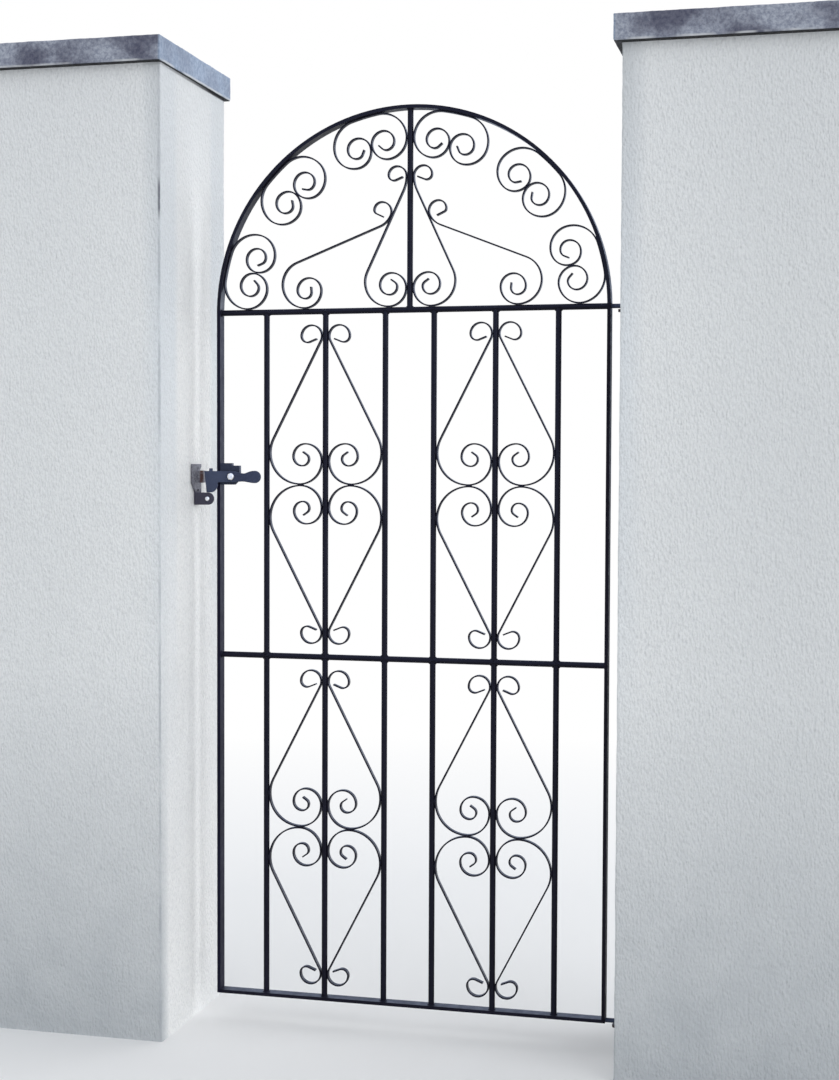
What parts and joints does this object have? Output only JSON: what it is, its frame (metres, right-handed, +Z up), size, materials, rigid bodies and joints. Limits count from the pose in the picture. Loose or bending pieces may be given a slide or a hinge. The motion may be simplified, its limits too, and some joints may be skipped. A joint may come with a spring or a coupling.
{
  "type": "bow-top metal garden gate between rendered piers",
  "caption": "Single bow-top iron garden gate with scrollwork, hung on pin hinges between two rendered masonry piers with slate copings, with a pivoting lever latch.",
  "frame": {"origin": "on the ground, in the middle of the gate leaf's width and midway through the piers' depth", "axes": "+Z up, +X across the gateway towards the hinge side, -Y towards the side that the latch lever faces"},
  "size_m": [1.814, 0.405, 2.001],
  "materials": {
    "painted_iron": "satin black paint on iron bar",
    "painted_fittings": "worn blue-black paint on forged fittings",
    "zinc": "bright zinc-plated bolts",
    "render": "rough-cast white render",
    "slate": "weathered blue-grey slate"
  },
  "bodies": {
    "masonry": {"left_pier": "render", "right_pier": "render", "left_coping": "slate", "right_coping": "slate", "latch_keeper": "painted_fittings", "keeper_bolt": "zinc", "upper_hinge_eye": "painted_fittings", "lower_hinge_eye": "painted_fittings"},
    "leaf": {"bow": "painted_iron", "latch_stile": "painted_iron", "hinge_stile": "painted_iron", "top_rail": "painted_iron", "middle_rail": "painted_iron", "bottom_rail": "painted_iron", "centre_bar": "painted_iron", "bar_1": "painted_iron", "bar_2": "painted_iron", "bar_3": "painted_iron", "bar_4": "painted_iron", "bar_5": "painted_iron", "bar_6": "painted_iron", "upper_left_panel_top_scrolls": "painted_iron", "upper_left_panel_bottom_scrolls": "painted_iron", "lower_left_panel_top_scrolls": "painted_iron", "lower_left_panel_bottom_scrolls": "painted_iron", "upper_right_panel_top_scrolls": "painted_iron", "upper_right_panel_bottom_scrolls": "painted_iron", "lower_right_panel_top_scrolls": "painted_iron", "lower_right_panel_bottom_scrolls": "painted_iron", "arch_low_scroll_left": "painted_iron", "arch_low_scroll_right": "painted_iron", "arch_middle_scroll_left": "painted_iron", "arch_middle_scroll_right": "painted_iron", "arch_high_scroll_left": "painted_iron", "arch_high_scroll_right": "painted_iron", "arch_inner_long_scroll_left": "painted_iron", "arch_inner_long_scroll_right": "painted_iron", "arch_outer_long_scroll_left": "painted_iron", "arch_outer_long_scroll_right": "painted_iron", "upper_hinge_pin": "painted_fittings", "lower_hinge_pin": "painted_fittings", "latch_bracket": "painted_fittings", "latch_bolt": "zinc"},
    "lever": {"latch_lever": "painted_fittings"}
  },
  "joints": [
    {"name": "gate_swing", "type": "hinge", "parent": "masonry", "child": "leaf", "pos_m": [0.4335, 0.0175, 0.0535], "axis": [0, 0, 1], "range_deg": [-90, 0]},
    {"name": "latch_pivot", "type": "hinge", "parent": "leaf", "child": "lever", "pos_m": [-0.375, -0.0025, 1.1352], "axis": [0, 1, 0], "range_deg": [0, 15]}
  ]
}
